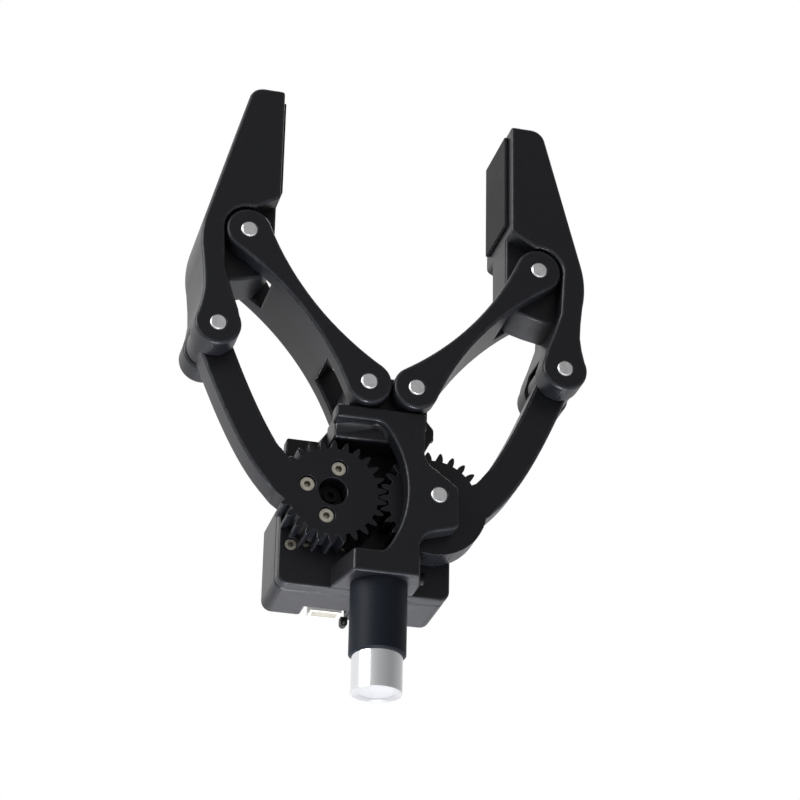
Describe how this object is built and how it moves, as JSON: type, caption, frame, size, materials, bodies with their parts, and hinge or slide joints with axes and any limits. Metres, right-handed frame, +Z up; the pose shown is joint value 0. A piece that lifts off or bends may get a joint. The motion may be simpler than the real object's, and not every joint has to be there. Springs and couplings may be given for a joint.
{
  "type": "two finger gripper",
  "caption": "Servo driven parallel two finger gripper with meshed gear arms, inner links, padded fingers and a round spigot for holding it.",
  "frame": {"origin": "centre of the lower end face of the spigot", "axes": "+Z up the spigot axis towards the fingertips, +X across the jaws, +Y from the geared front to the servo case at the back"},
  "size_m": [0.1546, 0.0557, 0.2407],
  "materials": {
    "black_nylon": "finely textured black nylon",
    "sleeve": "smooth satin black sleeve",
    "pin_steel": "satin ground steel",
    "screw_steel": "stainless screw heads",
    "black_steel": "black oxide steel screw",
    "aluminium": "polished aluminium",
    "bronze": "sintered bronze bush",
    "servo_plastic": "black servo case",
    "circuit_board": "green circuit board",
    "socket_plastic": "white connector housing",
    "pad_rubber": "black rubber pad"
  },
  "bodies": {
    "housing": {"front_frame": "black_nylon", "case_front": "black_nylon", "case_body": "black_nylon", "case_screws": "screw_steel", "frame_screws": "screw_steel", "servo_motor": "servo_plastic", "servo_screws": "screw_steel", "control_board": "circuit_board", "cable_socket": "socket_plastic", "cable_clip": "black_nylon", "set_screw": "black_steel", "shaft_sleeve": "sleeve", "spigot": "aluminium", "spigot_plug": "aluminium", "spigot_bolt": "screw_steel", "driven_axle": "pin_steel", "base_pins": "pin_steel"},
    "arm_left": {"drive_arm": "black_nylon", "servo_horn": "servo_plastic", "output_shaft": "pin_steel", "horn_screws": "screw_steel", "horn_center_screw": "black_steel", "drive_arm_bush": "bronze"},
    "arm_right": {"driven_arm": "black_nylon", "driven_gear_bush": "bronze", "driven_arm_bush": "bronze"},
    "link_left": {"inner_link_left": "black_nylon", "link_pin_left": "pin_steel", "link_bushes_left": "bronze"},
    "link_right": {"inner_link_right": "black_nylon", "link_pin_right": "pin_steel", "link_bushes_right": "bronze"},
    "jaw_left": {"finger_left": "black_nylon", "finger_pin_left": "pin_steel", "finger_bush_left": "bronze", "pad_left": "pad_rubber"},
    "jaw_right": {"finger_right": "black_nylon", "finger_pin_right": "pin_steel", "finger_bush_right": "bronze", "pad_right": "pad_rubber"}
  },
  "joints": [
    {"name": "jaw_drive", "type": "hinge", "parent": "housing", "child": "arm_left", "pos_m": [-0.0195, 0.0015, 0.0765], "axis": [0, 1, 0], "range_deg": [0, 36.5]},
    {"name": "driven_gear_turn", "type": "hinge", "parent": "housing", "child": "arm_right", "pos_m": [0.0195, 0.0015, 0.0765], "axis": [0, 1, 0], "range_deg": [-36.5, 0]},
    {"name": "link_left_swing", "type": "hinge", "parent": "housing", "child": "link_left", "pos_m": [-0.0093, 0.0015, 0.1185], "axis": [0, 1, 0], "range_deg": [0, 36.5]},
    {"name": "link_right_swing", "type": "hinge", "parent": "housing", "child": "link_right", "pos_m": [0.0093, 0.0015, 0.1185], "axis": [0, 1, 0], "range_deg": [-36.5, 0]},
    {"name": "finger_left_pivot", "type": "hinge", "parent": "arm_left", "child": "jaw_left", "pos_m": [-0.06835, 0.0015, 0.13472], "axis": [0, 1, 0], "range_deg": [-36.5, 0]},
    {"name": "finger_right_pivot", "type": "hinge", "parent": "arm_right", "child": "jaw_right", "pos_m": [0.06835, 0.0015, 0.13472], "axis": [0, 1, 0], "range_deg": [0, 36.5]}
  ],
  "couplings": [
    {"joint": "driven_gear_turn", "follows": "jaw_drive", "ratio": -1},
    {"joint": "link_left_swing", "follows": "jaw_drive", "ratio": 1},
    {"joint": "link_right_swing", "follows": "jaw_drive", "ratio": -1},
    {"joint": "finger_left_pivot", "follows": "jaw_drive", "ratio": -1},
    {"joint": "finger_right_pivot", "follows": "jaw_drive", "ratio": 1}
  ]
}
